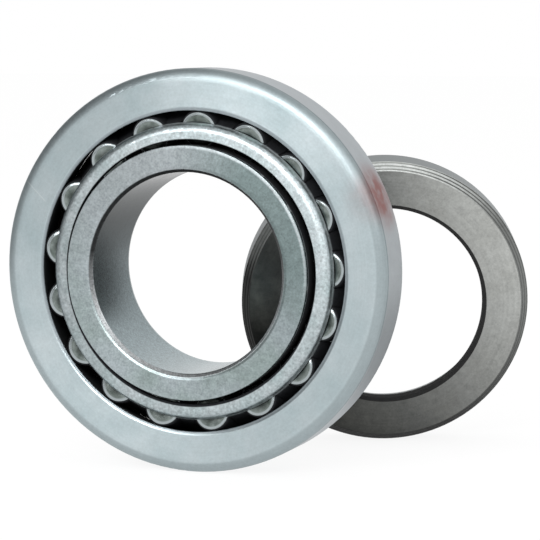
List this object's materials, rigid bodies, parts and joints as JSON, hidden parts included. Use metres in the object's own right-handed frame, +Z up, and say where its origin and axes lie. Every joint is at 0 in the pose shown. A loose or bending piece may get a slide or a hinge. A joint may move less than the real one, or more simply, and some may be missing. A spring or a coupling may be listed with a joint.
{
  "type": "tapered roller bearing",
  "caption": "Tapered roller bearing with a turning outer ring, caged tapered rollers, an inner ring and a loose retaining ring.",
  "frame": {"origin": "on the bearing's axis, in the plane of the outer ring's back face, inside the shaft bore", "axes": "+Y along the bearing's axis from the rollers' small ends to their large ends, +Z up, the bearing standing on its rim as a wheel does"},
  "size_m": [0.094, 0.0693, 0.08],
  "materials": {
    "outer_ring": "ground, satin",
    "inner_ring": "ground, polished bore",
    "cage": "pressed and tumbled, matt",
    "retaining_ring": "turned and dull, mottled",
    "roller_steel": "superfinished, bright"
  },
  "bodies": {
    "inner_ring": {"inner_ring": "inner_ring"},
    "outer_ring": {"outer_ring": "outer_ring"},
    "cage": {"cage": "cage"},
    "roller_01": {"roller_01": "roller_steel"},
    "roller_02": {"roller_02": "roller_steel"},
    "roller_03": {"roller_03": "roller_steel"},
    "roller_04": {"roller_04": "roller_steel"},
    "roller_05": {"roller_05": "roller_steel"},
    "roller_06": {"roller_06": "roller_steel"},
    "roller_07": {"roller_07": "roller_steel"},
    "roller_08": {"roller_08": "roller_steel"},
    "roller_09": {"roller_09": "roller_steel"},
    "roller_10": {"roller_10": "roller_steel"},
    "roller_11": {"roller_11": "roller_steel"},
    "roller_12": {"roller_12": "roller_steel"},
    "roller_13": {"roller_13": "roller_steel"},
    "roller_14": {"roller_14": "roller_steel"},
    "roller_15": {"roller_15": "roller_steel"},
    "roller_16": {"roller_16": "roller_steel"},
    "roller_17": {"roller_17": "roller_steel"},
    "retaining_ring": {"retaining_ring": "retaining_ring"}
  },
  "joints": [
    {"name": "outer_ring_spin", "type": "hinge", "parent": "inner_ring", "child": "outer_ring", "pos_m": [0, 0, 0], "axis": [0, 1, 0], "continuous": true},
    {"name": "cage_spin", "type": "hinge", "parent": "inner_ring", "child": "cage", "pos_m": [0, 0, 0], "axis": [0, 1, 0], "continuous": true},
    {"name": "roller_01_spin", "type": "hinge", "parent": "cage", "child": "roller_01", "pos_m": [0.0291, 0.00655, 0.00132], "axis": [0.2135, 0.9769, 0.0097], "continuous": true},
    {"name": "roller_02_spin", "type": "hinge", "parent": "cage", "child": "roller_02", "pos_m": [0.02666, 0.00655, 0.01174], "axis": [0.1956, 0.9769, 0.0862], "continuous": true},
    {"name": "roller_03_spin", "type": "hinge", "parent": "cage", "child": "roller_03", "pos_m": [0.02061, 0.00655, 0.02058], "axis": [0.1512, 0.9769, 0.151], "continuous": true},
    {"name": "roller_04_spin", "type": "hinge", "parent": "cage", "child": "roller_04", "pos_m": [0.01179, 0.00655, 0.02664], "axis": [0.0865, 0.9769, 0.1954], "continuous": true},
    {"name": "roller_05_spin", "type": "hinge", "parent": "cage", "child": "roller_05", "pos_m": [0.00137, 0.00655, 0.0291], "axis": [0.01, 0.9769, 0.2135], "continuous": true},
    {"name": "roller_06_spin", "type": "hinge", "parent": "cage", "child": "roller_06", "pos_m": [-0.00923, 0.00655, 0.02763], "axis": [-0.0677, 0.9769, 0.2027], "continuous": true},
    {"name": "roller_07_spin", "type": "hinge", "parent": "cage", "child": "roller_07", "pos_m": [-0.01859, 0.00655, 0.02243], "axis": [-0.1364, 0.9769, 0.1645], "continuous": true},
    {"name": "roller_08_spin", "type": "hinge", "parent": "cage", "child": "roller_08", "pos_m": [-0.02544, 0.00655, 0.0142], "axis": [-0.1866, 0.9769, 0.1041], "continuous": true},
    {"name": "roller_09_spin", "type": "hinge", "parent": "cage", "child": "roller_09", "pos_m": [-0.02885, 0.00655, 0.00405], "axis": [-0.2116, 0.9769, 0.0297], "continuous": true},
    {"name": "roller_10_spin", "type": "hinge", "parent": "cage", "child": "roller_10", "pos_m": [-0.02836, 0.00655, -0.00665], "axis": [-0.2081, 0.9769, -0.0488], "continuous": true},
    {"name": "roller_11_spin", "type": "hinge", "parent": "cage", "child": "roller_11", "pos_m": [-0.02404, 0.00655, -0.01644], "axis": [-0.1764, 0.9769, -0.1206], "continuous": true},
    {"name": "roller_12_spin", "type": "hinge", "parent": "cage", "child": "roller_12", "pos_m": [-0.01648, 0.00655, -0.02402], "axis": [-0.1209, 0.9769, -0.1762], "continuous": true},
    {"name": "roller_13_spin", "type": "hinge", "parent": "cage", "child": "roller_13", "pos_m": [-0.00669, 0.00655, -0.02835], "axis": [-0.0491, 0.9769, -0.208], "continuous": true},
    {"name": "roller_14_spin", "type": "hinge", "parent": "cage", "child": "roller_14", "pos_m": [0.004, 0.00655, -0.02885], "axis": [0.0294, 0.9769, -0.2117], "continuous": true},
    {"name": "roller_15_spin", "type": "hinge", "parent": "cage", "child": "roller_15", "pos_m": [0.01415, 0.00655, -0.02546], "axis": [0.1038, 0.9769, -0.1868], "continuous": true},
    {"name": "roller_16_spin", "type": "hinge", "parent": "cage", "child": "roller_16", "pos_m": [0.02239, 0.00655, -0.01863], "axis": [0.1643, 0.9769, -0.1367], "continuous": true},
    {"name": "roller_17_spin", "type": "hinge", "parent": "cage", "child": "roller_17", "pos_m": [0.02761, 0.00655, -0.00928], "axis": [0.2026, 0.9769, -0.0681], "continuous": true},
    {"name": "retaining_ring_slide", "type": "slide", "parent": "inner_ring", "child": "retaining_ring", "axis": [-0.3289, 0.934, 0.1392], "range_m": [0, 0.04]}
  ],
  "couplings": [
    {"joint": "cage_spin", "follows": "outer_ring_spin", "ratio": 0.56743},
    {"joint": "roller_01_spin", "follows": "outer_ring_spin", "ratio": 3.5558},
    {"joint": "roller_02_spin", "follows": "outer_ring_spin", "ratio": 3.5558},
    {"joint": "roller_03_spin", "follows": "outer_ring_spin", "ratio": 3.5558},
    {"joint": "roller_04_spin", "follows": "outer_ring_spin", "ratio": 3.5558},
    {"joint": "roller_05_spin", "follows": "outer_ring_spin", "ratio": 3.5558},
    {"joint": "roller_06_spin", "follows": "outer_ring_spin", "ratio": 3.5558},
    {"joint": "roller_07_spin", "follows": "outer_ring_spin", "ratio": 3.5558},
    {"joint": "roller_08_spin", "follows": "outer_ring_spin", "ratio": 3.5558},
    {"joint": "roller_09_spin", "follows": "outer_ring_spin", "ratio": 3.5558},
    {"joint": "roller_10_spin", "follows": "outer_ring_spin", "ratio": 3.5558},
    {"joint": "roller_11_spin", "follows": "outer_ring_spin", "ratio": 3.5558},
    {"joint": "roller_12_spin", "follows": "outer_ring_spin", "ratio": 3.5558},
    {"joint": "roller_13_spin", "follows": "outer_ring_spin", "ratio": 3.5558},
    {"joint": "roller_14_spin", "follows": "outer_ring_spin", "ratio": 3.5558},
    {"joint": "roller_15_spin", "follows": "outer_ring_spin", "ratio": 3.5558},
    {"joint": "roller_16_spin", "follows": "outer_ring_spin", "ratio": 3.5558},
    {"joint": "roller_17_spin", "follows": "outer_ring_spin", "ratio": 3.5558}
  ]
}
